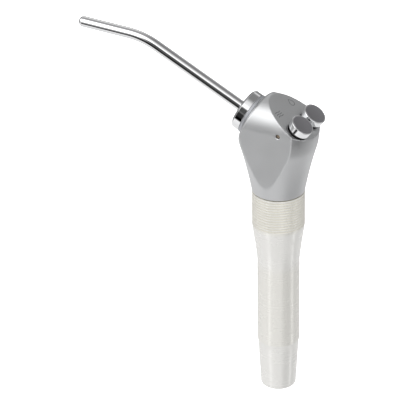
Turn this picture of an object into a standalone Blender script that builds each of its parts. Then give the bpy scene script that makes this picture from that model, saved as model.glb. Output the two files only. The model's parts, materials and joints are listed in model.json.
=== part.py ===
"""Dental three-way syringe: hollow handle, valve head with two push buttons, bent nozzle.

World frame, in metres: the origin is the centre of the handle's lower end, +Z runs up the handle,
+X points towards the nozzle and +Y to the air button's side.
"""
import math

import bmesh
import bpy
from mathutils import Vector

MM = 0.001

# Handle
HANDLE_LENGTH = 82.0 * MM
HANDLE_GRIP_RADIUS = 9.7 * MM
HANDLE_WAIST_RADIUS = 7.8 * MM
HANDLE_TAPER_RADIUS = 7.5 * MM
HANDLE_END_RADIUS = 6.45 * MM
GRIP_END = 14.0 * MM
WAIST_START = 29.0 * MM
WAIST_END = 62.5 * MM
TAPER_START = 63.5 * MM
HANDLE_WALL = 1.3 * MM
HANDLE_SOCKET_RADIUS = 6.9 * MM
HANDLE_SOCKET_DEPTH = 22.8 * MM

# Head
SEAM_GAP = 0.3 * MM
HEAD_RADIUS = 15.0 * MM
HEAD_HALF_WIDTH = 10.65 * MM
HEAD_CROWN_AXIS = HANDLE_LENGTH + 26.9 * MM
HEAD_BORE_RADIUS = 6.5 * MM
HEAD_BORE_DEPTH = 8.6 * MM

# Buttons and valves: each axis leans back by BUTTON_LEAN from the vertical
BUTTON_LEAN = math.radians(-35.2)
BUTTON_FACE = Vector((-10.2 * MM, 0.0, HANDLE_LENGTH + 28.4 * MM))
BUTTON_OFFSET = 4.9 * MM
CAP_RADIUS = 4.4 * MM
CAP_RISE = 3.8 * MM
CAP_GAP = 1.1 * MM
CAP_NECK_RADIUS = 3.5 * MM
VALVE_BORE_RADIUS = 3.8 * MM
VALVE_BORE_DEPTH = 17.0 * MM
STEM_RADIUS = 1.35 * MM

# Retaining pin, which crosses both valve bores just above their sleeves
PIN_RADIUS = 0.72 * MM
PIN_HOLE_RADIUS = 0.85 * MM
PIN_X = -5.1 * MM
PIN_Z = HANDLE_LENGTH + 27.4 * MM
PIN_HALF_LENGTH = 10.1 * MM

# Nozzle: its axis leans forward by NOZZLE_LEAN from the vertical
NOZZLE_LEAN = math.radians(64.8)
NOZZLE_FACE = Vector((10.1 * MM, 0.0, HANDLE_LENGTH + 27.85 * MM))
NOSE_RADIUS = 8.0 * MM
RING_RADIUS = 7.9 * MM
NUT_RADIUS = 7.8 * MM
NUT_FRONT = 4.65 * MM
NUT_REAR = 1.15 * MM
HUB_RADIUS = 5.85 * MM
TUBE_RADIUS = 2.0 * MM
TUBE_WALL = 0.45 * MM
WATER_TUBE_RADIUS = 0.62 * MM
WATER_TUBE_WALL = 0.22 * MM
TUBE_TAIL = -8.0 * MM
WATER_TUBE_TAIL = -10.2 * MM
TUBE_FIRST_RUN = 50.0 * MM
TUBE_SECOND_RUN = 26.4 * MM
TUBE_BEND_ANGLE = math.radians(24.2)
TUBE_BEND_RADIUS = 28.0 * MM

BODY_STEPS = 48
FITTING_STEPS = 28
SMALL_STEPS = 16
AXIS_MERGE = 1e-6


def clear_scene():
    for obj in list(bpy.data.objects):
        bpy.data.objects.remove(obj, do_unlink=True)


def new_collection(name):
    coll = bpy.data.collections.new(name)
    bpy.context.scene.collection.children.link(coll)
    return coll


def make_material(name, colour, roughness, metallic):
    mat = bpy.data.materials.new(name)
    mat.use_nodes = True
    shader = mat.node_tree.nodes["Principled BSDF"]
    shader.inputs["Base Color"].default_value = (*colour, 1.0)
    shader.inputs["Roughness"].default_value = roughness
    shader.inputs["Metallic"].default_value = metallic
    return mat


def add_object(name, data, coll, parent=None, location=(0.0, 0.0, 0.0), mat=None):
    obj = bpy.data.objects.new(name, data)
    coll.objects.link(obj)
    obj.parent = parent
    obj.location = location
    if mat is not None:
        data.materials.append(mat)
    return obj


def add_axis(name, origin, lean, coll):
    """An empty whose local +Z is the axis: it leans by this angle from +Z towards +X."""
    empty = add_object(name, None, coll, location=origin)
    empty.rotation_euler = (0.0, lean, 0.0)
    empty.empty_display_size = 5 * MM
    return empty


def make_cutter(obj):
    obj.display_type = "WIRE"
    obj.hide_render = True
    return obj


def boolean(target, other, operation="DIFFERENCE"):
    mod = target.modifiers.new(operation.title() + "." + other.name, "BOOLEAN")
    mod.operation = operation
    mod.object = other
    mod.solver = "EXACT"


def outline_mesh(name, points, closed):
    mesh = bpy.data.meshes.new(name)
    edges = [(i, i + 1) for i in range(len(points) - 1)]
    if closed:
        edges.append((len(points) - 1, 0))
    mesh.from_pydata([(r, 0.0, z) for r, z in points], edges, [])
    return mesh


def turned(name, coll, outer, inner=None, steps=FITTING_STEPS, **place):
    """A turned piece. outer is (radius, height) pairs from top to bottom down the outside.

    A solid piece starts and ends on the axis. A hollow piece adds inner, the bore's own pairs
    from bottom to top.
    """
    points = list(outer) + list(inner or [])
    obj = add_object(name, outline_mesh(name, points, inner is not None), coll, **place)
    screw = obj.modifiers.new("Screw", "SCREW")
    screw.axis = "Z"
    screw.steps = steps
    screw.render_steps = steps
    screw.use_merge_vertices = True
    screw.merge_threshold = AXIS_MERGE
    screw.use_smooth_shade = True
    return obj


def solid_rod(name, coll, radius, top, bottom, steps=SMALL_STEPS, **place):
    outline = [(0.0, top), (radius, top), (radius, bottom), (0.0, bottom)]
    return turned(name, coll, outline, steps=steps, **place)


def ring(name, coll, outer_radius, inner_radius, top, bottom, steps=FITTING_STEPS, **place):
    outer = [(outer_radius, top), (outer_radius, bottom)]
    inner = [(inner_radius, bottom), (inner_radius, top)]
    return turned(name, coll, outer, inner, steps=steps, **place)


def o_ring(name, coll, major, minor, height, steps=24, minor_steps=6, **place):
    """A ring of round section: the section is a circle that runs down its outer side first."""
    section = []
    for i in range(minor_steps):
        angle = math.pi / 2 - 2 * math.pi * i / minor_steps
        section.append((major + minor * math.cos(angle), height + minor * math.sin(angle)))
    return turned(name, coll, section, [], steps=steps, **place)


def box(name, coll, size, **place):
    mesh = bpy.data.meshes.new(name)
    bm = bmesh.new()
    bmesh.ops.create_cube(bm, size=1.0)
    bmesh.ops.scale(bm, vec=size, verts=bm.verts)
    bm.to_mesh(mesh)
    bm.free()
    return add_object(name, mesh, coll, **place)


def arc_points(centre, radius, start, end, count):
    """Points on an arc from the start angle to the end angle, in radians."""
    step = (end - start) / (count - 1)
    angles = [start + step * i for i in range(count)]
    return [(centre[0] + radius * math.cos(a), centre[1] + radius * math.sin(a)) for a in angles]


# ---------------------------------------------------------------- handle

def blend(start, end, t):
    return start + (end - start) * t


def handle_radius(below_seam):
    """Outside radius of the handle at a distance below the seam."""
    if below_seam < GRIP_END:
        return HANDLE_GRIP_RADIUS
    if below_seam < WAIST_START:
        t = (below_seam - GRIP_END) / (WAIST_START - GRIP_END)
        return blend(HANDLE_GRIP_RADIUS, HANDLE_WAIST_RADIUS, t + 0.12 * math.sin(math.pi * t) * t)
    if below_seam <= WAIST_END:
        return HANDLE_WAIST_RADIUS
    t = max(0.0, (below_seam - TAPER_START) / (HANDLE_LENGTH - TAPER_START))
    return blend(HANDLE_TAPER_RADIUS, HANDLE_END_RADIUS, t)


def build_handle(parts, mats):
    top = SEAM_GAP
    edge = 0.9 * MM
    chamfer = 0.15 * MM
    cone_step = (WAIST_START - GRIP_END) / 6
    depths = [top + chamfer] + [GRIP_END + cone_step * i for i in range(7)]
    depths += [WAIST_END, TAPER_START, HANDLE_LENGTH - 9.0 * MM]
    outer = [(HANDLE_GRIP_RADIUS - chamfer, HANDLE_LENGTH - top)]
    outer += [(handle_radius(d), HANDLE_LENGTH - d) for d in depths]
    outer += arc_points((handle_radius(HANDLE_LENGTH - edge) - edge, edge), edge, 0.0, -math.pi / 2, 5)
    inner_depths = [HANDLE_LENGTH - 0.2 * MM, TAPER_START, WAIST_START + 2 * MM]
    inner = [(handle_radius(HANDLE_LENGTH) - HANDLE_WALL + 0.2 * MM, 0.0)]
    inner += [(handle_radius(d) - HANDLE_WALL, HANDLE_LENGTH - d) for d in inner_depths]
    inner += [(HANDLE_SOCKET_RADIUS, HANDLE_LENGTH - HANDLE_SOCKET_DEPTH)]
    inner += [(HANDLE_SOCKET_RADIUS, HANDLE_LENGTH - top)]
    turned("handle_shell", parts, outer, inner, steps=BODY_STEPS, mat=mats["handle"])

    groove = 9.0 * MM
    o_ring("handle_oring", parts, 6.3 * MM, 0.52 * MM, HANDLE_LENGTH - groove, mat=mats["rubber"])


def build_spigot(parts, cutters, mats):
    """The spigot that joins the head and the handle, with its gasket and two hose barbs."""
    top = HANDLE_LENGTH + 7.5 * MM
    bottom = HANDLE_LENGTH - 22.0 * MM
    radius, neck = 6.4 * MM, 6.2 * MM
    groove_top = HANDLE_LENGTH - 8.3 * MM
    groove_bottom = HANDLE_LENGTH - 9.7 * MM
    groove_radius = 5.65 * MM
    outer = [(0.0, top), (radius, top), (radius, HANDLE_LENGTH), (neck, HANDLE_LENGTH)]
    outer += [(neck, groove_top), (groove_radius, groove_top), (groove_radius, groove_bottom)]
    outer += [(neck, groove_bottom), (neck, bottom), (0.0, bottom)]
    spigot = turned("handle_spigot", parts, outer, mat=mats["brass"])

    gasket_top = HANDLE_LENGTH + HEAD_BORE_DEPTH - 0.1 * MM
    gasket = solid_rod("spigot_gasket", parts, 6.3 * MM, gasket_top, top + 0.1 * MM,
                       steps=FITTING_STEPS, mat=mats["rubber"])

    bore, socket, socket_depth = 1.0 * MM, 1.7 * MM, 5.2 * MM
    for side, name in ((1, "air"), (-1, "water")):
        y = side * 3.9 * MM
        through = solid_rod(name + "_supply_drill", cutters, bore, gasket_top + 1 * MM, bottom - 1 * MM,
                            location=(0.0, y, 0.0))
        boolean(spigot, make_cutter(through))
        boolean(gasket, through)
        seat = solid_rod(name + "_barb_seat", cutters, socket, bottom + socket_depth, bottom - 1 * MM,
                         location=(0.0, y, 0.0))
        boolean(spigot, make_cutter(seat))
        build_barb(name + "_barb", parts, y, bottom, mats["brass"])
        o_ring(name + "_barb_oring", parts, 1.98 * MM, 0.3 * MM, bottom - 0.4 * MM,
               steps=SMALL_STEPS, minor_steps=6, location=(0.0, y, 0.0), mat=mats["rubber"])


def build_barb(name, parts, y, spigot_end, mat):
    """A hose tail: a plain stem up into the spigot, a flange, and three barbs below it."""
    stem, flange, root, crest, bore = 1.6 * MM, 2.6 * MM, 1.35 * MM, 1.95 * MM, 0.75 * MM
    flange_top = spigot_end - 0.8 * MM
    flange_bottom = flange_top - 1.0 * MM
    outer = [(stem, spigot_end + 5.0 * MM), (stem, flange_top), (flange, flange_top)]
    outer += [(flange, flange_bottom)]
    pitch = 2.2 * MM
    for i in range(3):
        z = flange_bottom - 0.8 * MM - i * pitch
        outer += [(root, z + 0.01 * MM), (crest, z - 0.25 * MM), (root, z - pitch + 0.4 * MM)]
    end = flange_bottom - 0.8 * MM - 3 * pitch
    outer.append((root, end))
    inner = [(bore, end), (bore, spigot_end + 5.0 * MM)]
    turned(name, parts, outer, inner, steps=SMALL_STEPS, location=(0.0, y, 0.0), mat=mat)


# ---------------------------------------------------------------- head

def head_profile():
    """Outside of the head's flared body, from the top to the seam."""
    top = HANDLE_LENGTH + 42.0 * MM
    flare = [(24.0, 14.9), (22.0, 14.7), (20.0, 14.4), (16.0, 13.3), (10.8, 11.95), (5.4, 10.75)]
    points = [(0.0, top), (HEAD_RADIUS, top), (HEAD_RADIUS, HANDLE_LENGTH + 28.0 * MM)]
    points += [(r * MM, HANDLE_LENGTH + z * MM) for z, r in flare]
    points += [(HANDLE_GRIP_RADIUS, HANDLE_LENGTH), (0.0, HANDLE_LENGTH)]
    return points


def crown_prism(coll):
    """The bar of inverted-U section that gives the head its two side flats and round top."""
    curve = bpy.data.curves.new("head_section", "CURVE")
    curve.dimensions = "2D"
    curve.fill_mode = "BOTH"
    curve.extrude = 40.0 * MM
    round_top = arc_points((0.0, HEAD_CROWN_AXIS), HEAD_HALF_WIDTH, 0.0, math.pi, 33)
    below = HANDLE_LENGTH - 5.0 * MM
    points = [(HEAD_HALF_WIDTH, below)] + round_top + [(-HEAD_HALF_WIDTH, below)]
    spline = curve.splines.new("POLY")
    spline.points.add(len(points) - 1)
    for point, (y, z) in zip(spline.points, points):
        point.co = (y, z, 0.0, 1.0)
    spline.use_cyclic_u = True
    temp = add_object("head_section_curve", curve, coll)
    temp.rotation_euler = (math.pi / 2, 0.0, math.pi / 2)
    bpy.context.view_layer.update()
    graph = bpy.context.evaluated_depsgraph_get()
    mesh = bpy.data.meshes.new_from_object(temp.evaluated_get(graph))
    prism = add_object("head_section_prism", mesh, coll)
    prism.matrix_world = temp.matrix_world
    bm = bmesh.new()
    bm.from_mesh(mesh)
    bmesh.ops.remove_doubles(bm, verts=bm.verts, dist=AXIS_MERGE)
    bmesh.ops.recalc_face_normals(bm, faces=bm.faces)
    bm.to_mesh(mesh)
    bm.free()
    bpy.data.objects.remove(temp, do_unlink=True)
    return make_cutter(prism)


def nose_keeper(coll, axis):
    """A domed body about the nozzle axis: the head keeps only what is inside it, which rounds its nose."""
    dome_radius = 7.2 * MM
    dome_start = NOSE_RADIUS - 1.0 * MM
    outer = [(0.0, 0.0), (NOSE_RADIUS, 0.0)]
    outer += arc_points((dome_start, -dome_radius), dome_radius, math.radians(76), math.radians(30), 7)
    outer += [(20.0 * MM, -7.0 * MM), (32.0 * MM, -13.0 * MM), (34.0 * MM, -60.0 * MM), (0.0, -60.0 * MM)]
    return make_cutter(turned("nose_keeper", coll, outer, steps=BODY_STEPS, parent=axis))


def build_head(parts, cutters, mats, nozzle_axis, button_axes):
    head = turned("head_body", parts, head_profile(), steps=BODY_STEPS, mat=mats["satin"])
    boolean(head, crown_prism(cutters), "INTERSECT")
    boolean(head, nose_keeper(cutters, nozzle_axis), "INTERSECT")

    slab = 60.0 * MM
    face_axis = button_axes["face"]
    face_slab = box("button_face_slab", cutters, (slab, slab, slab), parent=face_axis,
                    location=(0.0, 0.0, slab / 2))
    boolean(head, make_cutter(face_slab))

    spigot_bore = solid_rod("spigot_bore", cutters, HEAD_BORE_RADIUS, HANDLE_LENGTH + HEAD_BORE_DEPTH,
                            HANDLE_LENGTH - 2 * MM, steps=FITTING_STEPS)
    boolean(head, make_cutter(spigot_bore))

    for name in ("air", "water"):
        bore = solid_rod(name + "_valve_bore", cutters, VALVE_BORE_RADIUS, 5 * MM, -VALVE_BORE_DEPTH,
                         steps=FITTING_STEPS, parent=button_axes[name])
        boolean(head, make_cutter(bore))
        side = 1 if name == "air" else -1
        supply = solid_rod(name + "_supply_riser", cutters, 0.9 * MM, HANDLE_LENGTH + 17.5 * MM,
                           HANDLE_LENGTH + HEAD_BORE_DEPTH - 1 * MM, steps=16,
                           location=(0.0, side * 3.9 * MM, 0.0))
        boolean(head, make_cutter(supply))

    socket = [(0.0, 2 * MM), (6.0 * MM, 2 * MM), (6.0 * MM, -6.0 * MM), (3.0 * MM, -6.0 * MM)]
    socket += [(3.0 * MM, -11.6 * MM), (0.0, -11.6 * MM)]
    nozzle_bore = turned("nozzle_bore", cutters, socket, parent=nozzle_axis)
    boolean(head, make_cutter(nozzle_bore))
    build_outlets(head, cutters, nozzle_axis)

    pin_hole = solid_rod("pin_hole", cutters, PIN_HOLE_RADIUS, 15 * MM, -15 * MM, location=(PIN_X, 0.0, PIN_Z))
    pin_hole.rotation_euler = (math.pi / 2, 0.0, 0.0)
    boolean(head, make_cutter(pin_hole))


def build_outlets(head, cutters, nozzle_axis):
    """Drillings from the floor of the nozzle socket back to the two valve bores."""
    length, radius = 9.0 * MM, 0.5 * MM
    drillings = (("water", -11.2 * MM, 0.0, -48.0), ("air", -7.0 * MM, 2.0 * MM, 35.0))
    for name, depth, offset, swing in drillings:
        drill = solid_rod(name + "_outlet_drill", cutters, radius, 0.0, -length, steps=12,
                          parent=nozzle_axis, location=(0.0, offset, depth))
        drill.rotation_euler = (math.radians(swing), 0.0, 0.0)
        boolean(head, make_cutter(drill))


# ---------------------------------------------------------------- valves and buttons

def build_valve(name, parts, cutters, mats, axis, cap_mat):
    """One valve in its bore: sleeve and seals, return spring, stem and cap. z = 0 is the button face."""
    neck_end, cavity_radius, cavity_top = -1.5 * MM, 2.9 * MM, 2.4 * MM
    bevel = 0.3 * MM
    outer = [(0.0, CAP_RISE), (CAP_RADIUS - bevel, CAP_RISE), (CAP_RADIUS, CAP_RISE - bevel)]
    outer += [(CAP_RADIUS, CAP_GAP), (CAP_NECK_RADIUS, CAP_GAP), (CAP_NECK_RADIUS, neck_end)]
    outer += [(cavity_radius, neck_end), (cavity_radius, cavity_top), (0.0, cavity_top)]
    turned(name + "_button_cap", parts, outer, steps=24, parent=axis, mat=cap_mat)

    stem_groove = 1.05 * MM
    stem = [(0.0, 2.3 * MM), (STEM_RADIUS, 2.3 * MM), (STEM_RADIUS, -10.6 * MM), (1.6 * MM, -10.8 * MM)]
    stem += [(1.6 * MM, -11.6 * MM), (stem_groove, -11.6 * MM), (stem_groove, -12.4 * MM)]
    stem += [(1.6 * MM, -12.4 * MM), (1.6 * MM, -13.4 * MM), (1.2 * MM, -14.2 * MM), (0.0, -14.2 * MM)]
    turned(name + "_valve_stem", parts, stem, steps=SMALL_STEPS, parent=axis, mat=mats["steel"])
    o_ring(name + "_stem_oring", parts, 1.38 * MM, 0.29 * MM, -12.0 * MM, steps=SMALL_STEPS,
           minor_steps=6, parent=axis, mat=mats["rubber"])

    sleeve_top, sleeve_radius, seal_groove = -4.7 * MM, 3.7 * MM, 2.95 * MM
    sleeve = [(sleeve_radius, sleeve_top)]
    for groove_top in (-7.2 * MM, -12.6 * MM):
        groove_bottom = groove_top - 0.9 * MM
        sleeve += [(sleeve_radius, groove_top), (seal_groove, groove_top)]
        sleeve += [(seal_groove, groove_bottom), (sleeve_radius, groove_bottom)]
    sleeve += [(sleeve_radius, -15.6 * MM)]
    spring_seat, guide = 2.85 * MM, 1.8 * MM
    inner = [(guide, -15.6 * MM), (guide, -6.0 * MM), (spring_seat, -6.0 * MM), (spring_seat, sleeve_top)]
    body = turned(name + "_valve_sleeve", parts, sleeve, inner, parent=axis, mat=mats["brass"])
    port = solid_rod(name + "_sleeve_port", cutters, 0.5 * MM, 5 * MM, -5 * MM, steps=12, parent=axis,
                     location=(0.0, 0.0, -10.0 * MM))
    port.rotation_euler = (0.0, math.pi / 2, 0.0)
    boolean(body, make_cutter(port))

    for place, groove_mid in (("upper", -7.65 * MM), ("lower", -13.05 * MM)):
        o_ring(name + "_sleeve_oring_" + place, parts, 3.36 * MM, 0.35 * MM, groove_mid,
               minor_steps=6, parent=axis, mat=mats["rubber"])
    build_spring(name + "_valve_spring", parts, axis, mats["steel"])


def build_spring(name, parts, axis, mat):
    turns, per_turn = 5, 10
    coil_radius, wire = 2.3 * MM, 0.24 * MM
    low, high = -5.9 * MM + wire, 2.3 * MM - wire
    count = turns * per_turn + 1
    curve = bpy.data.curves.new(name, "CURVE")
    curve.dimensions = "3D"
    curve.bevel_depth = wire
    curve.bevel_resolution = 2
    curve.use_fill_caps = True
    spline = curve.splines.new("POLY")
    spline.points.add(count - 1)
    for i, point in enumerate(spline.points):
        angle = 2 * math.pi * i / per_turn
        height = low + (high - low) * i / (count - 1)
        point.co = (coil_radius * math.cos(angle), coil_radius * math.sin(angle), height, 1.0)
    add_object(name, curve, parts, parent=axis, mat=mat)


def build_retaining_pin(parts, mats):
    pin = solid_rod("retaining_pin", parts, PIN_RADIUS, PIN_HALF_LENGTH, -PIN_HALF_LENGTH,
                    location=(PIN_X, 0.0, PIN_Z), mat=mats["steel"])
    pin.rotation_euler = (math.pi / 2, 0.0, 0.0)


# ---------------------------------------------------------------- nozzle and its clamp

def nozzle_route(tail):
    """Centre line in the nozzle axis's frame: straight, one bend in the XZ plane, straight."""
    bend = TUBE_BEND_ANGLE
    cut_back = TUBE_BEND_RADIUS * math.tan(bend / 2)
    start = TUBE_FIRST_RUN - cut_back
    points = [(0.0, tail), (0.0, start)]
    segments = 10
    for i in range(1, segments + 1):
        a = bend * i / segments
        points.append((TUBE_BEND_RADIUS * (1 - math.cos(a)), start + TUBE_BEND_RADIUS * math.sin(a)))
    last_x, last_z = points[-1]
    run = TUBE_SECOND_RUN - cut_back
    points.append((last_x + run * math.sin(bend), last_z + run * math.cos(bend)))
    return points


def pipe(name, parts, axis, route, radius, wall, sides, mat):
    """An open-ended pipe along the route: an uncapped bevelled curve, thickened inwards."""
    curve = bpy.data.curves.new(name, "CURVE")
    curve.dimensions = "3D"
    curve.bevel_depth = radius
    curve.bevel_resolution = sides
    spline = curve.splines.new("POLY")
    spline.points.add(len(route) - 1)
    for point, (x, z) in zip(spline.points, route):
        point.co = (x, 0.0, z, 1.0)
    temp = add_object(name + "_line", curve, parts)
    bpy.context.view_layer.update()
    graph = bpy.context.evaluated_depsgraph_get()
    mesh = bpy.data.meshes.new_from_object(temp.evaluated_get(graph))
    bpy.data.objects.remove(temp, do_unlink=True)
    mesh.materials.clear()
    bm = bmesh.new()
    bm.from_mesh(mesh)
    bmesh.ops.remove_doubles(bm, verts=bm.verts, dist=AXIS_MERGE)
    bmesh.ops.recalc_face_normals(bm, faces=bm.faces)
    for face in bm.faces:
        face.smooth = True
    bm.to_mesh(mesh)
    bm.free()
    obj = add_object(name, mesh, parts, parent=axis, mat=mat)
    solid = obj.modifiers.new("Solidify", "SOLIDIFY")
    solid.thickness = wall
    solid.offset = -1.0
    solid.use_even_offset = True
    return obj


def build_nozzle(parts, cutters, mats, axis):
    pipe("nozzle_tube", parts, axis, nozzle_route(TUBE_TAIL), TUBE_RADIUS, TUBE_WALL, 8, mats["polished"])
    pipe("nozzle_water_tube", parts, axis, nozzle_route(WATER_TUBE_TAIL), WATER_TUBE_RADIUS,
         WATER_TUBE_WALL, 2, mats["steel"])
    ferrule = ring("nozzle_ferrule", parts, 1.42 * MM, 0.75 * MM, TUBE_TAIL + 2.4 * MM, TUBE_TAIL + 0.2 * MM,
                   steps=SMALL_STEPS, parent=axis, mat=mats["brass"])
    for i in range(3):
        slot = box("ferrule_slot_%d" % (i + 1), cutters, (1.2 * MM, 0.5 * MM, 6 * MM), parent=axis,
                   location=(0.0, 0.0, TUBE_TAIL + 1.3 * MM))
        angle = 2 * math.pi * i / 3 + 0.3
        slot.rotation_euler = (0.0, 0.0, angle)
        slot.location.x = 1.65 * MM * math.cos(angle)
        slot.location.y = 1.65 * MM * math.sin(angle)
        boolean(ferrule, make_cutter(slot))


def build_clamp(parts, cutters, mats, axis):
    """Trim ring, nut, split collet, washer, seals and the socket that takes the water tube."""
    ring("head_ring", parts, RING_RADIUS, 6.15 * MM, 1.05 * MM, 0.1 * MM, steps=BODY_STEPS,
         parent=axis, mat=mats["satin"])

    chamfer = 0.7 * MM
    nut = [(NUT_RADIUS - chamfer, NUT_FRONT), (NUT_RADIUS, NUT_FRONT - chamfer), (NUT_RADIUS, NUT_REAR)]
    nut += [(HUB_RADIUS, NUT_REAR), (HUB_RADIUS, -4.4 * MM)]
    bore = [(4.05 * MM, -4.4 * MM), (2.75 * MM, 1.6 * MM), (2.2 * MM, 1.9 * MM), (2.2 * MM, NUT_FRONT)]
    turned("nozzle_nut", parts, nut, bore, steps=BODY_STEPS, parent=axis, mat=mats["chrome"])

    outer = [(2.65 * MM, 1.3 * MM), (3.9 * MM, -4.5 * MM), (3.9 * MM, -5.1 * MM)]
    inner = [(2.13 * MM, -5.1 * MM), (2.13 * MM, 1.3 * MM)]
    collet = turned("tip_collet", parts, outer, inner, steps=24, parent=axis, mat=mats["brass"])
    for i in range(3):
        angle = 2 * math.pi * i / 3 + 0.2
        slot = box("collet_slot_%d" % (i + 1), cutters, (3.0 * MM, 0.5 * MM, 6 * MM), parent=axis,
                   location=(3.2 * MM * math.cos(angle), 3.2 * MM * math.sin(angle), -1.0 * MM))
        slot.rotation_euler = (0.0, 0.0, angle)
        boolean(collet, make_cutter(slot))

    ring("oring_washer", parts, 5.8 * MM, 2.25 * MM, -5.3 * MM, -5.85 * MM, parent=axis, mat=mats["steel"])
    o_ring("tip_oring", parts, 2.52 * MM, 0.38 * MM, -6.6 * MM, parent=axis, mat=mats["rubber"])
    socket = [(2.9 * MM, -8.5 * MM), (2.9 * MM, -11.5 * MM)]
    hole = [(0.8 * MM, -11.5 * MM), (0.8 * MM, -9.6 * MM), (1.4 * MM, -9.6 * MM), (1.4 * MM, -8.5 * MM)]
    turned("water_socket", parts, socket, hole, steps=24, parent=axis, mat=mats["brass"])
    o_ring("water_socket_seal", parts, 1.02 * MM, 0.3 * MM, -9.15 * MM, steps=SMALL_STEPS,
           minor_steps=6, parent=axis, mat=mats["rubber"])


def make_materials():
    return {
        "handle": make_material("handle_cream", (0.72, 0.71, 0.67), 0.3, 0.0),
        "satin": make_material("satin_aluminium", (0.5, 0.5, 0.51), 0.42, 1.0),
        "chrome": make_material("chrome_nut", (0.75, 0.75, 0.76), 0.08, 1.0),
        "polished": make_material("polished_steel", (0.7, 0.7, 0.71), 0.12, 1.0),
        "steel": make_material("spring_steel", (0.5, 0.48, 0.45), 0.3, 1.0),
        "cap": make_material("cap_metal", (0.2, 0.2, 0.22), 0.35, 1.0),
        "brass": make_material("nickel_brass", (0.62, 0.52, 0.3), 0.3, 1.0),
        "rubber": make_material("seal_rubber", (0.03, 0.03, 0.03), 0.7, 0.0),
    }


def main():
    clear_scene()
    parts = new_collection("three_way_syringe")
    cutters = new_collection("cutters")
    mats = make_materials()

    nozzle_axis = add_axis("nozzle_axis", NOZZLE_FACE, NOZZLE_LEAN, parts)
    button_axes = {"face": add_axis("button_face_axis", BUTTON_FACE, BUTTON_LEAN, parts)}
    for name, side in (("air", 1), ("water", -1)):
        origin = BUTTON_FACE + Vector((0.0, side * BUTTON_OFFSET, 0.0))
        button_axes[name] = add_axis(name + "_button_axis", origin, BUTTON_LEAN, parts)

    build_handle(parts, mats)
    build_spigot(parts, cutters, mats)
    build_head(parts, cutters, mats, nozzle_axis, button_axes)
    for name in ("air", "water"):
        build_valve(name, parts, cutters, mats, button_axes[name], mats["cap"])
    build_retaining_pin(parts, mats)
    build_clamp(parts, cutters, mats, nozzle_axis)
    build_nozzle(parts, cutters, mats, nozzle_axis)
    bpy.context.view_layer.update()


main()
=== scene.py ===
"""Looks of a dental three-way syringe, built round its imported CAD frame.

Lengths inside the classes are millimetres, as a fitter would give them. Everything is placed in the
frame's metres: the handle stands on +Z, the nozzle points to +X and the air button is on the +Y side.
"""

from __future__ import annotations

import json
import logging
import math
from collections.abc import Sequence
from dataclasses import dataclass, field
from enum import Enum

import bmesh
import bpy
import numpy as np
from mathutils import Matrix, Vector

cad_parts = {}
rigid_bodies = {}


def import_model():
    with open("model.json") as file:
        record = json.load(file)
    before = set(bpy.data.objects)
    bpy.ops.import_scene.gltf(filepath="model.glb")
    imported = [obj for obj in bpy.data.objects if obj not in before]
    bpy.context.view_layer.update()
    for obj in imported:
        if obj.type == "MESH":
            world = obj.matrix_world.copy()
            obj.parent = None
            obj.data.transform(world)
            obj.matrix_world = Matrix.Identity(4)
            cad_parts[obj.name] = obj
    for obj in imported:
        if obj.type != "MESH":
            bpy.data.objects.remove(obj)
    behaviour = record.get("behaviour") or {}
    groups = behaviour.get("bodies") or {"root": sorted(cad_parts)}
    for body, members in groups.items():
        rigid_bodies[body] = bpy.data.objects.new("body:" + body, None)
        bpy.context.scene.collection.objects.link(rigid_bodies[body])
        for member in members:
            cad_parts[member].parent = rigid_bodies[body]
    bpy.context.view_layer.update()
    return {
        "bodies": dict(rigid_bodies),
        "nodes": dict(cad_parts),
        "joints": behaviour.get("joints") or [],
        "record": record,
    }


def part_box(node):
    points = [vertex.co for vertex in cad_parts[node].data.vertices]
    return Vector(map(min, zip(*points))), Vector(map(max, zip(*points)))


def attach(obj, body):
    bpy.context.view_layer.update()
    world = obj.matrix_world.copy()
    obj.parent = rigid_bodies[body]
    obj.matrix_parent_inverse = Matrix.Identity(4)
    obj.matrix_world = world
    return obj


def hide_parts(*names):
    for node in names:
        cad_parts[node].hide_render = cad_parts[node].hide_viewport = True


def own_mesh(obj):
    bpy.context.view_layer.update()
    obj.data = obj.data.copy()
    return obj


MM = 0.001
OWN_PLACE = "own_place"
# Names the point attribute that says how much painted shade darkens and warms the handle's ribbed bands.
RIBBED_PAINTED_SHADE = "ribbed"
LOG = logging.getLogger("three_way_syringe")

Colour = tuple[float, float, float]
Triple = tuple[float, float, float]
Pair = tuple[float, float]
Ring = tuple[Vector, Vector, Vector, float]

# A finish mixes its fine marks with broad clouds: the clouds' size in mm, the marks' share of the mix, and
# the range that the mix mostly fills.
CLOUD_SIZE = 7.0
MARKS_SHARE = 0.35
MIX_SPAN = (0.3, 0.7)

# A fillet takes at most this share of the shorter side next to it.
FILLET_SHARE = 0.48


class Slot(Enum):
    """The record's material slots, one handed to the fitter with each new piece."""

    HANDLE = "handle_cream"
    SATIN = "satin_metal"
    BUTTON = "button_metal"
    CHROME = "chrome"
    POLISHED = "polished_steel"
    STEEL = "spring_steel"


class Body(Enum):
    """The frame's moving bodies."""

    HOUSING = "housing"
    AIR_BUTTON = "air_button"
    WATER_BUTTON = "water_button"
    NUT = "nut"
    NOZZLE = "nozzle"


class Grain(Enum):
    """What a tool or a mould leaves on a surface."""

    BLASTED = "blasted"
    TURNED = "turned"
    FACED = "faced"
    MOULDED = "moulded"


# ---------------------------------------------------------------- finishes


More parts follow.
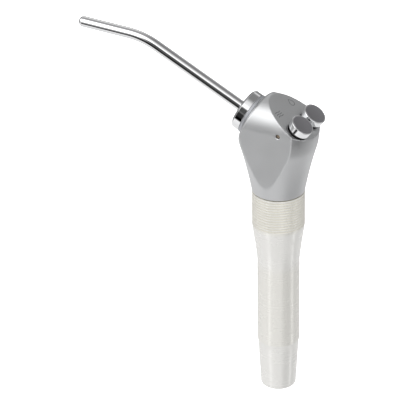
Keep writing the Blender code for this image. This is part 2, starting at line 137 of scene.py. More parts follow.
class NodeTree:
    """A thin helper that adds and joins shader nodes."""

    def __init__(self, tree: bpy.types.NodeTree) -> None:
        """Keeps the tree that nodes are added to."""
        self.tree = tree

    def feed(self, socket: bpy.types.NodeSocket, value: object) -> None:
        """Links a socket to another one, or sets its value.

        Args:
            socket: The socket that takes the value.
            value: A number, a vector, a colour or another socket.
        """
        if isinstance(value, bpy.types.NodeSocket):
            self.tree.links.new(value, socket)
        else:
            socket.default_value = value

    def add(self, kind: str, **inputs: object) -> bpy.types.Node:
        """Adds a node.

        Args:
            kind: The node's type name, such as ShaderNodeTexNoise.
            inputs: Values or sockets by socket name, with _ for a blank.

        Returns:
            The new node.
        """
        node = self.tree.nodes.new(kind)
        for name, value in inputs.items():
            self.feed(node.inputs[name.replace("_", " ")], value)
        return node

    def math(self, operation: str, *values: object) -> bpy.types.NodeSocket:
        """Adds a Math node.

        Args:
            operation: Blender's name of the operation.
            values: Numbers or sockets, in the node's order.

        Returns:
            The result's socket.
        """
        node = self.tree.nodes.new("ShaderNodeMath")
        node.operation = operation
        for socket, value in zip(node.inputs, values):
            self.feed(socket, value)
        return node.outputs[0]

    def ramp(self, value: bpy.types.NodeSocket, *limits: float) -> bpy.types.NodeSocket:
        """Maps a value smoothly from one range to another.

        Args:
            value: The value's socket.
            limits: From low, from high, to low and to high.

        Returns:
            The mapped value's socket.
        """
        node = self.tree.nodes.new("ShaderNodeMapRange")
        node.interpolation_type = "SMOOTHSTEP"
        for socket, given in zip(node.inputs, (value, *limits)):
            self.feed(socket, given)
        return node.outputs[0]

    def mix(
        self, share: object, first: object, second: object, blend: str = "MIX"
    ) -> bpy.types.NodeSocket:
        """Mixes two colours.

        Args:
            share: How much of the second colour there is.
            first: A colour or a colour socket.
            second: A colour or a colour socket.
            blend: Blender's name of the way they mix.

        Returns:
            The mixed colour's socket.
        """
        node = self.tree.nodes.new("ShaderNodeMix")
        node.data_type = "RGBA"
        node.blend_type = blend
        for index, value in ((0, share), (6, first), (7, second)):
            self.feed(node.inputs[index], value)
        return node.outputs[2]


@dataclass(frozen=True)
class Finish:
    """One surface finish: its colour, gloss and the marks that making it left.

    Args:
        name: The material's name.
        colour: Linear base colour.
        roughness: Middle roughness.
        metallic: 1 for bare or plated metal.
        grain: The kind of fine marks.
        grain_size: Size of the marks in mm.
        grain_depth: Height of the marks in mm.
        mottle: How far the colour wanders, as a share.
        haze: How far the roughness wanders.
        sheen: Weight of dusty sheen.
    """

    name: str
    colour: Colour
    roughness: float
    metallic: float
    grain: Grain
    grain_size: float
    grain_depth: float
    mottle: float = 0.04
    haze: float = 0.04
    sheen: float = 0.0

    def material(self) -> bpy.types.Material:
        """Makes the material once, and gives the same one afterwards.

        Returns:
            The material.
        """
        made = bpy.data.materials.get(self.name)
        if made is not None:
            return made
        made = bpy.data.materials.new(self.name)
        made.use_nodes = True
        shader = made.node_tree.nodes["Principled BSDF"]
        shader.inputs["Metallic"].default_value = self.metallic
        shader.inputs["Sheen Weight"].default_value = self.sheen
        tree = NodeTree(made.node_tree)
        place = tree.add("ShaderNodeTexCoord").outputs["Object"]
        clouds = self._noise(tree, place, CLOUD_SIZE, detail=3.0)
        marks = self._marks(tree, place)
        faint = tree.math("MULTIPLY", clouds, 1 - MARKS_SHARE)
        share = tree.math("MULTIPLY_ADD", marks, MARKS_SHARE, faint)
        light = (*(c * (1 + self.mottle) for c in self.colour), 1.0)
        dark = (*(c * (1 - self.mottle) for c in self.colour), 1.0)
        tree.feed(shader.inputs["Base Color"], self._tint(tree, tree.mix(share, dark, light)))
        low, high = self.roughness - self.haze, self.roughness + self.haze
        tree.feed(shader.inputs["Roughness"], tree.ramp(share, *MIX_SPAN, low, high))
        bump = tree.add("ShaderNodeBump", Height=marks, Strength=1.0, Distance=self.grain_depth * MM)
        tree.feed(shader.inputs["Normal"], bump.outputs["Normal"])
        return made

    def _tint(self, tree: NodeTree, colour: bpy.types.NodeSocket) -> bpy.types.NodeSocket:
        """The base colour, which a plain finish leaves as it is."""
        return colour

    def _noise(
        self, tree: NodeTree, place: bpy.types.NodeSocket, size: float, detail: float
    ) -> bpy.types.NodeSocket:
        """Adds noise of a size in mm and returns its socket."""
        return tree.add("ShaderNodeTexNoise", Vector=place, Scale=1 / (size * MM), Detail=detail).outputs[0]

    def _marks(self, tree: NodeTree, place: bpy.types.NodeSocket) -> bpy.types.NodeSocket:
        """Adds the grain's height pattern.

        Args:
            tree: The material's nodes.
            place: Object coordinates. A turned grain follows the piece's own Z axis instead.

        Returns:
            The pattern's socket, from 0 to 1.
        """
        if self.grain in (Grain.BLASTED, Grain.MOULDED):
            return self._noise(tree, place, self.grain_size, detail=4.0)
        own = tree.add("ShaderNodeAttribute")
        own.attribute_name = OWN_PLACE
        apart = tree.add("ShaderNodeSeparateXYZ", Vector=own.outputs["Vector"]).outputs
        across = tree.math("SQRT", tree.math("ADD", tree.math("MULTIPLY", apart[0], apart[0]),
                                             tree.math("MULTIPLY", apart[1], apart[1])))
        along = apart[2] if self.grain is Grain.TURNED else across
        line = tree.add("ShaderNodeCombineXYZ", X=along, Y=0.0, Z=0.0).outputs[0]
        return self._noise(tree, line, self.grain_size, detail=4.0)


@dataclass(frozen=True)
class RibbedShadeFinish(Finish):
    """A finish with painted shade: a little darker and warmer where the surface is ribbed.

    Args:
        ribbed_shade_colour: What the colour is multiplied by in the ribbed bands.
    """

    # Painted shade: the ribbed bands' colour is multiplied by this.
    ribbed_shade_colour: Colour = (0.89, 0.865, 0.76)

    def _tint(self, tree: NodeTree, colour: bpy.types.NodeSocket) -> bpy.types.NodeSocket:
        """Darkens and warms the colour in the ribbed bands, as painted shade.

        Args:
            tree: The material's nodes.
            colour: The plain base colour.

        Returns:
            The warmed colour's socket.
        """
        band = tree.add("ShaderNodeAttribute")
        band.attribute_name = RIBBED_PAINTED_SHADE
        return tree.mix(band.outputs["Fac"], colour, (*self.ribbed_shade_colour, 1.0), blend="MULTIPLY")


SATIN_ALUMINIUM = Finish("satin_aluminium", (0.630, 0.636, 0.643), 0.46, 1.0, Grain.BLASTED, 0.16, 0.003)
RING_ALUMINIUM = Finish("turned_aluminium", (0.54, 0.55, 0.575), 0.58, 1.0, Grain.TURNED, 0.12, 0.002)
# The sleeve's finish, with painted shade in its ribbed bands.
PEARL_NICKEL = RibbedShadeFinish("pearl_nickel", (0.785, 0.777, 0.752), 0.27, 0.16, Grain.TURNED, 0.25, 0.0001,
                            mottle=0.01, haze=0.015)
BRIGHT_CHROME = Finish("bright_chrome", (0.86, 0.865, 0.875), 0.06, 1.0, Grain.TURNED, 0.3, 0.0004,
                       mottle=0.02, haze=0.02)
POLISHED_TUBE = Finish("polished_tube_steel", (0.80, 0.80, 0.81), 0.10, 1.0, Grain.BLASTED, 0.6, 0.0005,
                       mottle=0.02, haze=0.03)
BORE_STEEL = Finish("drawn_tube_steel", (0.55, 0.55, 0.56), 0.32, 1.0, Grain.BLASTED, 0.2, 0.002)
DARK_DISC = Finish("dark_satin_disc", (0.37, 0.365, 0.385), 0.36, 1.0, Grain.FACED, 0.10, 0.001)
# Painted shade: near black, standing for the shadow in the gap under each button cap.
PAINTED_SHADE_NECK = Finish("painted_shade_neck", (0.045, 0.044, 0.046), 0.42, 0.6, Grain.TURNED, 0.12, 0.001)
ETCHED_MARK = Finish("etched_mark", (0.30, 0.30, 0.31), 0.55, 1.0, Grain.BLASTED, 0.12, 0.002)
PIN_STEEL = Finish("oxidised_pin_steel", (0.46, 0.37, 0.28), 0.28, 1.0, Grain.BLASTED, 0.2, 0.002)
SPRING_STEEL = Finish("bright_spring_steel", (0.56, 0.54, 0.51), 0.24, 1.0, Grain.BLASTED, 0.1, 0.001)
VALVE_STEEL = Finish("ground_valve_steel", (0.62, 0.62, 0.63), 0.20, 1.0, Grain.BLASTED, 0.1, 0.001)
NICKEL_BRASS = Finish("nickel_brass", (0.66, 0.57, 0.36), 0.26, 1.0, Grain.BLASTED, 0.15, 0.002)
SEAL_RUBBER = Finish("black_seal_rubber", (0.022, 0.022, 0.023), 0.58, 0.0, Grain.MOULDED, 0.12, 0.003,
                     mottle=0.2, sheen=0.15)


# ---------------------------------------------------------------- mesh tools


def rounded(corners: Sequence[Triple], steps: int = 5) -> list[Pair]:
    """Rounds the corners of an open outline.

    Args:
        corners: (radius, height, fillet) for each corner. The ends keep their corners.
        steps: Segments in each fillet.

    Returns:
        The outline's points as (radius, height).
    """
    points: list[Pair] = []
    for i, (r, z, fillet) in enumerate(corners):
        if fillet <= 0 or i in (0, len(corners) - 1):
            points.append((r, z))
            continue
        here = Vector((r, z))
        before = Vector(corners[i - 1][:2]) - here
        after = Vector(corners[i + 1][:2]) - here
        half = before.angle(after) / 2
        room = FILLET_SHARE * min(before.length, after.length)
        reach = min(fillet / math.tan(half), room)
        radius = reach * math.tan(half)
        start = here + before.normalized() * reach
        end = here + after.normalized() * reach
        centre = here + (before.normalized() + after.normalized()).normalized() * radius / math.sin(half)
        first, last = start - centre, end - centre
        for k in range(steps + 1):
            spoke = first.lerp(last, k / steps).normalized() * radius
            points.append(tuple(centre + spoke))
    return points


def standing(origin: Sequence[float], side: Vector, up: Vector, out: Vector) -> Matrix:
    """Makes a frame from its origin and its three directions.

    Args:
        origin: Where it stands, in metres.
        side: Its X direction.
        up: Its Y direction.
        out: Its Z direction.

    Returns:
        The frame.
    """
    return Matrix.Translation(Vector(origin)) @ Matrix((side, up, out)).transposed().to_4x4()


def placed(name: str, mesh: bpy.types.Mesh, place: Matrix) -> bpy.types.Object:
    """Makes an object for a mesh.

    Args:
        name: The object's name.
        mesh: Its mesh, in the piece's own frame.
        place: Where that frame stands, in metres.

    Returns:
        The object, in the scene's collection.
    """
    obj = bpy.data.objects.new(name, mesh)
    bpy.context.scene.collection.objects.link(obj)
    obj.matrix_world = place
    return obj


def from_bmesh(name: str, bm: bmesh.types.BMesh, place: Matrix) -> bpy.types.Object:
    """Makes an object from a bmesh, which it frees.

    Args:
        name: The object's name.
        bm: The finished bmesh.
        place: Where the piece's own frame stands, in metres.

    Returns:
        The object, in the scene's collection.
    """
    bmesh.ops.recalc_face_normals(bm, faces=bm.faces)
    mesh = bpy.data.meshes.new(name)
    bm.to_mesh(mesh)
    bm.free()
    return placed(name, mesh, place)


def swept(name: str, rings: Sequence[Ring], sides: int, place: Matrix, looped: bool) -> bpy.types.Object:
    """Sweeps a circle along a line.

    Args:
        name: The object's name.
        rings: Each ring's centre, two crossing directions and radius, in mm.
        sides: Points in each ring.
        place: Where the piece's own frame stands, in metres.
        looped: Whether the last ring joins the first. Otherwise flat ends close the piece.

    Returns:
        The object.
    """
    bm = bmesh.new()
    made = []
    for centre, side, up, radius in rings:
        spokes = [side * math.cos(a) + up * math.sin(a) for a in np.arange(sides) * 2 * math.pi / sides]
        made.append([bm.verts.new((centre + spoke * radius) * MM) for spoke in spokes])
    for first, second in zip(made, made[1:] + made[:1] if looped else made[1:]):
        for k in range(sides):
            j = (k + 1) % sides
            bm.faces.new((first[k], first[j], second[j], second[k]))
    if not looped:
        bm.faces.new(made[0])
        bm.faces.new(made[-1])
    return from_bmesh(name, bm, place)


def turned(
    name: str, outline: Sequence[Pair], place: Matrix, steps: int = 96, hollow: bool = False
) -> bpy.types.Object:
    """Turns an outline about its own Z axis.

    Args:
        name: The object's name.
        outline: (radius, height) in mm, down the outer side from the top. A hollow piece's outline comes
            back up its bore.
        place: Where the piece's own frame stands, in metres.
        steps: Segments round the axis.
        hollow: Whether the outline closes on itself.

    Returns:
        The object, with its Screw modifier.
    """
    count = len(outline)
    edges = [(i, (i + 1) % count) for i in range(count if hollow else count - 1)]
    mesh = bpy.data.meshes.new(name)
    mesh.from_pydata([(r * MM, 0.0, z * MM) for r, z in outline], edges, [])
    obj = placed(name, mesh, place)
    screw = obj.modifiers.new("Turn", "SCREW")
    screw.axis = "Z"
    screw.steps = screw.render_steps = steps
    screw.use_merge_vertices = True
    screw.merge_threshold = 1e-6
    screw.use_smooth_shade = True
    return obj


def drill(
    name: str, radius: float, top: float, end: float, place: Matrix, steps: int = 96
) -> bpy.types.Object:
    """Makes a plain round cutter.

    Args:
        name: The object's name.
        radius: Its radius in mm.
        top: Height of its upper end in mm.
        end: Height of its lower end in mm.
        place: Where its own frame stands, in metres.
        steps: Segments round the axis.

    Returns:
        The cutter.
    """
    return turned(name, [(0.0, top), (radius, top), (radius, end), (0.0, end)], place, steps)


def baked(obj: bpy.types.Object, sharp_degrees: float) -> bpy.types.Object:
    """Applies the modifiers and the placing, and marks edges over an angle as sharp.

    The mesh keeps each point's place in the piece's own frame, which turned finishes follow.

    Args:
        obj: The object.
        sharp_degrees: The angle over which an edge stays crisp.

    Returns:
        The same object with its final mesh.
    """
    bpy.context.view_layer.update()
    graph = bpy.context.evaluated_depsgraph_get()
    mesh = bpy.data.meshes.new_from_object(obj.evaluated_get(graph))
    obj.modifiers.clear()
    obj.data = mesh
    own = mesh.attributes.new(OWN_PLACE, "FLOAT_VECTOR", "POINT")
    places = np.zeros(len(mesh.vertices) * 3, np.float32)
    mesh.vertices.foreach_get("co", places)
    own.data.foreach_set("vector", places)
    mesh.transform(obj.matrix_world)
    obj.matrix_world = Matrix.Identity(4)
    mesh.shade_smooth()
    mesh.set_sharp_from_angle(angle=math.radians(sharp_degrees))
    weigh = obj.modifiers.new("Flat faces stay flat", "WEIGHTED_NORMAL")
    weigh.keep_sharp = True
    return obj


def cut(target: bpy.types.Object, cutter: bpy.types.Object) -> None:
    """Subtracts a cutter.

    Args:
        target: The closed piece that loses material.
        cutter: The closed shape that is taken away.
    """
    boolean = target.modifiers.new("Cut " + cutter.name, "BOOLEAN")
    boolean.operation = "DIFFERENCE"
    boolean.solver = "MANIFOLD"
    boolean.object = cutter


def dress(obj: bpy.types.Object, finish: Finish) -> bpy.types.Object:
    """Gives every material slot of an object one finish.

    Args:
        obj: The object.
        finish: Its finish.

    Returns:
        The same object.
    """
    if not obj.material_slots:
        obj.data.materials.append(None)
    for material_slot in obj.material_slots:
        material_slot.material = finish.material()
    return obj


@dataclass
class Fitter:
    """Puts finished pieces on their bodies and keeps count of them."""

    frame: dict
    fitted: int = 0

    def fit(
        self, obj: bpy.types.Object, finish: Finish, body: Body, slot: Slot, *replaced: str
    ) -> bpy.types.Object:
        """Dresses a piece, hangs it on its body and hides the CAD nodes that it stands for.

        Args:
            obj: The piece, in place.
            finish: Its finish.
            body: The body that it moves with.
            slot: The record's slot. Not used.
            replaced: CAD nodes that it stands for.

        Returns:
            The same piece.
        """
        dress(obj, finish)
        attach(obj, body.value)
        if replaced:
            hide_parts(*replaced)
        self.fitted += 1
        LOG.info("fitted %s on %s", obj.name, body.value)
        return obj

    def dress_node(self, name: str, finish: Finish) -> None:
        """Gives a CAD node that stays in view its finish."""
        dress(self.frame["nodes"][name], finish)
        LOG.info("dressed CAD node %s as %s", name, finish.name)


@dataclass
class Axes:
    """The frame's own axes, read from its joints and boxes."""

    frame: dict
    seam: float = field(init=False)

    def __post_init__(self) -> None:
        """Finds the seam between head and handle, in metres."""
        self.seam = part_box("head_body")[0].z

    def _joint(self, name: str) -> dict:
        """The record's joint of that name."""
        return next(j for j in self.frame["joints"] if j["name"] == name)

    def _stand(self, origin: Sequence[float], out: Vector) -> Matrix:
        """A frame at an origin whose Z is a given direction and whose Y stays the world's Y."""
        side = Vector((0.0, 1.0, 0.0))
        return standing(origin, side.cross(out), side, out)

    def button(self, name: str) -> Matrix:
        """A button's frame: its origin on the button face, Z out of the face."""
        joint = self._joint(name + "_press")
        return self._stand(joint["pos_m"], -Vector(joint["axis"]).normalized())

    def nozzle(self) -> Matrix:
        """The nozzle's frame: its origin on the head's front, Z out along the nozzle."""
        joint = self._joint("tip_swivel")
        return self._stand(joint["pos_m"], Vector(joint["axis"]).normalized())

    def seam_frame(self) -> Matrix:
        """The handle's axis with its origin at the seam."""
        return Matrix.Translation((0.0, 0.0, self.seam))


# ---------------------------------------------------------------- sub-assemblies


@dataclass
class Handle:
    """The grip sleeve, with a ribbed band under the head and a fine-turned waist.

    The two tint shares say how much painted shade, the ribbed colour, the lands between grooves and the
    waist's fine lines take; the grip's grooves take up to all of it.
    """

    length: float = 82.0
    seam_gap: float = 0.3
    grip_radius: float = 9.7
    waist_radius: float = 7.8
    taper_radius: float = 7.5
    end_radius: float = 6.45
    grip_end: float = 14.0
    cone_bow: float = 0.12
    waist_start: float = 29.0
    waist_end: float = 62.5
    taper_start: float = 63.5
    end_round: float = 0.9
    wall: float = 1.3
    socket_radius: float = 6.9
    socket_depth: float = 22.8
    bore_shoulder: float = 2.0
    lip: float = 0.15
    mouth_chamfer: float = 0.2
    rib_run_in: float = 0.5
    rib_run_out: float = 0.35
    rib_pitch: float = 1.08
    rib_depth: float = 0.11
    band_edge: float = 0.1
    fine_start: float = 32.0
    fine_pitch: float = 0.78
    fine_depth: float = 0.010
    # Painted shade shares for the grip's lands and for the waist's fine lines.
    land_shade: float = 0.25
    fine_shade: float = 0.2
    rib_samples: int = 10
    fine_samples: int = 6
    cone_steps: int = 14
    taper_steps: int = 8
    round_steps: int = 8
    steps: int = 144

    def radius(self, depth: float) -> float:
        """The plain outside radius at a depth below the seam.

        Args:
            depth: Distance below the seam.

        Returns:
            The radius without ribs.
        """
        if depth < self.grip_end:
            return self.grip_radius
        if depth < self.waist_start:
            t = (depth - self.grip_end) / (self.waist_start - self.grip_end)
            bow = self.cone_bow * math.sin(math.pi * t) * t
            return self.grip_radius + (self.waist_radius - self.grip_radius) * (t + bow)
        if depth <= self.waist_end:
            return self.waist_radius
        t = max(0.0, (depth - self.taper_start) / (self.length - self.taper_start))
        return self.taper_radius + (self.end_radius - self.taper_radius) * t

    def _ribs(self, start: float, end: float, pitch: float, depth: float, samples: int) -> list[Pair]:
        """Outline points of a band of turned grooves.

        Args:
            start: Depth below the seam where the band starts.
            end: Depth where it ends.
            pitch: Distance between grooves.
            depth: Groove depth.
            samples: Points for each groove.

        Returns:
            (radius, height) points down the band.
        """
        grooves = round((end - start) / pitch)
        count = grooves * samples
        points = []
        for i in range(count + 1):
            below = start + (end - start) * i / count
            wave = (0.5 - 0.5 * math.cos(2 * math.pi * i / samples)) ** 2
            points.append((self.radius(below) - depth * wave, -below))
        return points

    def _plain(self, start: float, end: float, steps: int) -> list[Pair]:
        """Outline points of a stretch without ribs.

        Args:
            start: Depth below the seam where it starts.
            end: Depth where it ends.
            steps: Segments along it.

        Returns:
            (radius, height) points down the stretch, with both ends.
        """
        depths = [start + (end - start) * i / steps for i in range(steps + 1)]
        return [(self.radius(depth), -depth) for depth in depths]

    def outline(self) -> list[Pair]:
        """The sleeve's whole outline.

        Returns:
            (radius, height) points down the outside and back up the bore.
        """
        top, stop = self.seam_gap, self.length - self.end_round
        points = [(self.grip_radius - self.lip, -top), (self.grip_radius, -top - self.lip)]
        points += self._ribs(top + self.rib_run_in, self.grip_end - self.rib_run_out, self.rib_pitch,
                             self.rib_depth, self.rib_samples)
        points.append((self.grip_radius, -self.grip_end + self.band_edge))
        points += self._plain(self.grip_end, self.waist_start, self.cone_steps)
        points.append((self.waist_radius, -self.fine_start))
        points += self._ribs(self.fine_start + self.band_edge, self.waist_end, self.fine_pitch,
                             self.fine_depth, self.fine_samples)
        points.append((self.taper_radius, -self.taper_start))
        points += self._plain(self.taper_start, stop, self.taper_steps)[1:-1]
        rim = self.radius(stop)
        for i in range(self.round_steps + 1):
            a = math.pi / 2 * i / self.round_steps
            points.append((rim - self.end_round * (1 - math.cos(a)), -stop - self.end_round * math.sin(a)))
        mouth = self.end_radius - self.wall
        return points + [
            (mouth + self.mouth_chamfer, -self.length), (mouth, -self.length + self.mouth_chamfer),
            (self.taper_radius - self.wall, -self.taper_start),
            (self.waist_radius - self.wall, -self.waist_start - self.bore_shoulder),
            (self.socket_radius, -self.socket_depth), (self.socket_radius, -top),
        ]

    def _paint_band_shade(self, mesh: bpy.types.Mesh, seam: float) -> None:
        """Marks how much painted shade darkens the ribbed bands, most strongly in the grip's grooves.

        Args:
            mesh: The sleeve's mesh, in world space.
            seam: Height of the seam in metres.
        """
        bands = mesh.attributes.new(RIBBED_PAINTED_SHADE, "FLOAT", "POINT")
        for vertex, mark in zip(mesh.vertices, bands.data):
            depth = (seam - vertex.co.z) / MM
            if depth < self.grip_end:
                groove = (self.radius(depth) - vertex.co.xy.length / MM) / self.rib_depth
                # Painted shade: deepest in the grooves, lighter on the lands.
                mark.value = self.land_shade + (1 - self.land_shade) * min(1.0, max(0.0, groove))
            elif self.fine_start < depth < self.waist_end:
                # Painted shade: an even share over the waist's fine lines.
                mark.value = self.fine_shade

    def build(self, fitter: Fitter, axes: Axes) -> None:
        """Builds the sleeve and dresses the parts that sit inside it.

        Args:
            fitter: Fits and dresses the pieces.
            axes: The frame's axes.
        """
        sleeve = turned("handle_sleeve", self.outline(), axes.seam_frame(), self.steps, hollow=True)
        baked(sleeve, sharp_degrees=50)
        # Paints shade into the ribbed bands.
        self._paint_band_shade(sleeve.data, axes.seam)
        fitter.fit(sleeve, PEARL_NICKEL, Body.HOUSING, Slot.HANDLE, "handle_shell")
        for name in ("handle_spigot", "air_barb", "water_barb"):
            fitter.dress_node(name, NICKEL_BRASS)
        for name in ("handle_oring", "spigot_gasket", "air_barb_oring", "water_barb_oring"):
            fitter.dress_node(name, SEAL_RUBBER)


@dataclass
class Head:
    """The blasted valve head: a flared body with two flats, a round crown, a button face and a nose.

    The nose is a dome of radius nose_round that starts at nose_start from the nozzle's axis. It rounds over
    nose_share of its radius, and beyond that it falls straight by nose_fall. The two leans turn distances
    along an axis into distances square to a slope. The skin is found on rays from the heart, by halving
    search_reach search_steps times. Each outlet is drilled from the nozzle's socket: how far across and how
    deep its mouth lies, and how many degrees it swings.
    """

    half_width: float = 10.65
    crown_axis: float = 26.9
    nose_start: float = 7.0
    nose_round: float = 7.2
    nose_share: float = 0.87
    nose_fall: float = 0.5
    edge: float = 0.2
    face_edge_share: float = 0.7
    foot_edge: float = 0.25
    flare_lean: float = 0.96
    nose_lean: float = 0.93
    heart: float = 15.5
    search_reach: float = 45.0
    search_steps: int = 34
    spigot_radius: float = 6.5
    spigot_depth: float = 8.6
    spigot_clear: float = 2.0
    supply_offset: float = 3.9
    supply_radius: float = 0.9
    supply_top: float = 17.5
    supply_overlap: float = 1.0
    valve_radius: float = 3.8
    valve_depth: float = 17.0
    valve_clear: float = 6.0
    mouth_chamfer: float = 0.22
    nozzle_bore: float = 6.0
    nozzle_depth: float = 6.0
    nozzle_clear: float = 3.0
    water_bore: float = 3.0
    water_depth: float = 11.6
    pin_hole: float = 0.85
    pin_chamfer: float = 0.2
    pin_clear: float = 16.0
    flare: tuple[Pair, ...] = (
        (0.0, 9.7), (5.4, 10.75), (10.8, 11.95), (16.0, 13.3), (20.0, 14.4), (22.0, 14.7), (24.0, 14.9),
        (28.0, 15.0), (42.0, 15.0),
    )
    grid: int = 120
    outlet_radius: float = 0.5
    outlet_length: float = 9.0
    outlets: tuple[Triple, ...] = ((0.0, -11.2, -48.0), (2.0, -7.0, 35.0))
    mark_ahead: float = 8.9
    mark_size: float = 3.0
    mark_stroke: float = 0.13
    mark_thickness: float = 0.03

    def _flare_radius(self, height: np.ndarray) -> np.ndarray:
        """The flared body's radius, on one smooth curve through its stations.

        Args:
            height: Heights above the seam, in mm.

        Returns:
            The radius at each height, in mm.
        """
        stations, radii = (np.array(v) for v in zip(*self.flare))
        slopes = np.gradient(radii, stations)
        slopes[-2:] = 0.0
        h = np.clip(height, stations[0], stations[-1])
        i = np.clip(np.searchsorted(stations, h) - 1, 0, len(stations) - 2)
        step = stations[i + 1] - stations[i]
        t = (h - stations[i]) / step
        return (radii[i] * (1 + 2 * t) * (1 - t) ** 2 + step * slopes[i] * t * (1 - t) ** 2
                + radii[i + 1] * t * t * (3 - 2 * t) + step * slopes[i + 1] * t * t * (t - 1))

    @staticmethod
    def _meet(first: np.ndarray, second: np.ndarray, edge: float) -> np.ndarray:
        """Joins two surfaces at their outer corner with a soft edge of this width."""
        soft = np.maximum(edge - np.abs(first - second), 0.0) / edge
        return np.maximum(first, second) + soft * soft * edge / 4

    def _outside(self, points: np.ndarray, face: Matrix, nozzle: Matrix) -> np.ndarray:
        """How far points lie outside the head.

        Args:
            points: Points in mm from the seam's centre.
            face: The button face's frame, in mm.
            nozzle: The nozzle's frame, in mm.

        Returns:
            Distances in mm, below zero inside.
        """
        x, y, z = points.T
        body = (np.hypot(x, y) - self._flare_radius(z)) * self.flare_lean
        over = np.where(z > self.crown_axis, z - self.crown_axis, 0.0)
        shape = self._meet(body, np.hypot(y, over) - self.half_width, self.edge)
        lean, start = np.array(face.col[2][:3]), np.array(face.translation)
        shape = self._meet(shape, (points - start) @ lean, self.edge * self.face_edge_share)
        ahead, origin = np.array(nozzle.col[2][:3]), np.array(nozzle.translation)
        reach = (points - origin) @ ahead
        away = np.linalg.norm(points - origin - reach[:, None] * ahead, axis=1)
        rounding = self.nose_round * self.nose_share
        past = np.clip(away - self.nose_start, 0.0, rounding)
        dome = np.sqrt(self.nose_round ** 2 - past ** 2) - self.nose_round
        beyond = np.maximum(away - self.nose_start - rounding, 0.0)
        shape = self._meet(shape, (reach - dome + beyond * self.nose_fall) * self.nose_lean, self.edge)
        return self._meet(shape, -z, self.foot_edge)

    def _casting(self, seam: Matrix, face: Matrix, nozzle: Matrix) -> bpy.types.Object:
        """The head's outside as one closed skin, before it is drilled.

        Args:
            seam: The frame at the seam.
            face: The button face's frame, between the buttons.
            nozzle: The nozzle's frame.

        Returns:
            The closed skin.
        """
        bm = bmesh.new()
        bmesh.ops.create_cube(bm, size=2.0)
        bmesh.ops.subdivide_edges(bm, edges=bm.edges, cuts=self.grid - 1, use_grid_fill=True)
        cube = np.array([v.co for v in bm.verts], float)
        spread = np.tan(cube * math.pi / 4)
        rays = spread / np.linalg.norm(spread, axis=1)[:, None]
        heart = np.array((0.0, 0.0, self.heart))
        in_mm = Matrix.Scale(1 / MM, 4) @ seam.inverted()
        face_mm, nozzle_mm = in_mm @ face, in_mm @ nozzle
        for m in (face_mm, nozzle_mm):
            for i in range(3):
                m.col[i] = m.col[i].normalized()
        near, far = np.zeros(len(rays)), np.full(len(rays), self.search_reach)
        for _ in range(self.search_steps):
            middle = (near + far) / 2
            out = self._outside(heart + rays * middle[:, None], face_mm, nozzle_mm) > 0
            far = np.where(out, middle, far)
            near = np.where(out, near, middle)
        skin = (heart + rays * near[:, None]) * MM
        for vert, co in zip(bm.verts, skin):
            vert.co = co
        return from_bmesh("head_casting", bm, seam)

    def _cutters(self, axes: Axes, nozzle: Matrix) -> list[bpy.types.Object]:
        """Closed cutters for every bore in the head.

        Args:
            axes: The frame's axes.
            nozzle: The nozzle's frame.

        Returns:
            The cutters.
        """
        seam = axes.seam_frame()
        mouth, chamfer = self.valve_radius + self.mouth_chamfer, -self.mouth_chamfer
        valve = [(0.0, self.valve_clear), (mouth, self.valve_clear), (mouth, 0.0),
                 (self.valve_radius, chamfer), (self.valve_radius, -self.valve_depth),
                 (0.0, -self.valve_depth)]
        socket = [(0.0, self.nozzle_clear), (self.nozzle_bore, self.nozzle_clear),
                  (self.nozzle_bore, -self.nozzle_depth), (self.water_bore, -self.nozzle_depth),
                  (self.water_bore, -self.water_depth), (0.0, -self.water_depth)]
        made = [drill("cut_spigot", self.spigot_radius, self.spigot_depth, -self.spigot_clear, seam),
                turned("cut_socket", socket, nozzle)]
        supply_foot = self.spigot_depth - self.supply_overlap
        for name, side in (("air", 1), ("water", -1)):
            made.append(turned("cut_valve_" + name, valve, axes.button(name)))
            stand = seam @ Matrix.Translation((0.0, side * self.supply_offset * MM, 0.0))
            made.append(drill("cut_supply_" + name, self.supply_radius, self.supply_top, supply_foot,
                              stand, steps=32))
        for i, (across, deep, swing) in enumerate(self.outlets):
            mouth_at = Matrix.Translation((0.0, across * MM, deep * MM))
            aim = nozzle @ (mouth_at @ Matrix.Rotation(math.radians(swing), 4, "X"))
            made.append(drill(f"cut_outlet_{i}", self.outlet_radius, 0.0, -self.outlet_length,
                              aim, steps=24))
        low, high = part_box("retaining_pin")
        middle = Matrix.Translation((low + high) / 2) @ Matrix.Rotation(math.pi / 2, 4, "X")
        narrow, wide = self.pin_hole, self.pin_hole + self.pin_chamfer
        half, depth = self.half_width, self.half_width - self.pin_chamfer
        hole = [(0.0, self.pin_clear), (wide, self.pin_clear), (wide, half), (narrow, depth),
                (narrow, -depth), (wide, -half), (wide, -self.pin_clear), (0.0, -self.pin_clear)]
        made.append(turned("cut_pin_hole", hole, middle, steps=48))
        return made

    def _drop(self, name: str, size: float, place: Matrix) -> bpy.types.Object:
        """A thin etched drop outline.

        Args:
            name: The mark's name.
            size: The drop's length.
            place: The mark's frame, with Z out of the surface.

        Returns:
            The mark.
        """
        bowl, tip = 0.36 * size, 0.66 * size
        first, last = math.radians(-215), math.radians(35)
        bend = [(bowl * math.cos(a), bowl * math.sin(a)) for a in np.linspace(first, last, 25)]
        return self._etched(name, [bend + [(0.0, tip)]], place)

    def _waves(self, name: str, size: float, place: Matrix) -> bpy.types.Object:
        """Three short etched waves, one above the other.

        Args:
            name: The mark's name.
            size: The waves' length.
            place: The mark's frame, with Z out of the surface.

        Returns:
            The mark.
        """
        pitch, swell = 0.3, 0.07
        along = np.linspace(0.0, 1.0, 17)
        rows = [[(size * (t - 0.5), size * (lift + swell * math.sin(2 * math.pi * t))) for t in along]
                for lift in (-pitch, 0.0, pitch)]
        return self._etched(name, rows, place, closed=False)

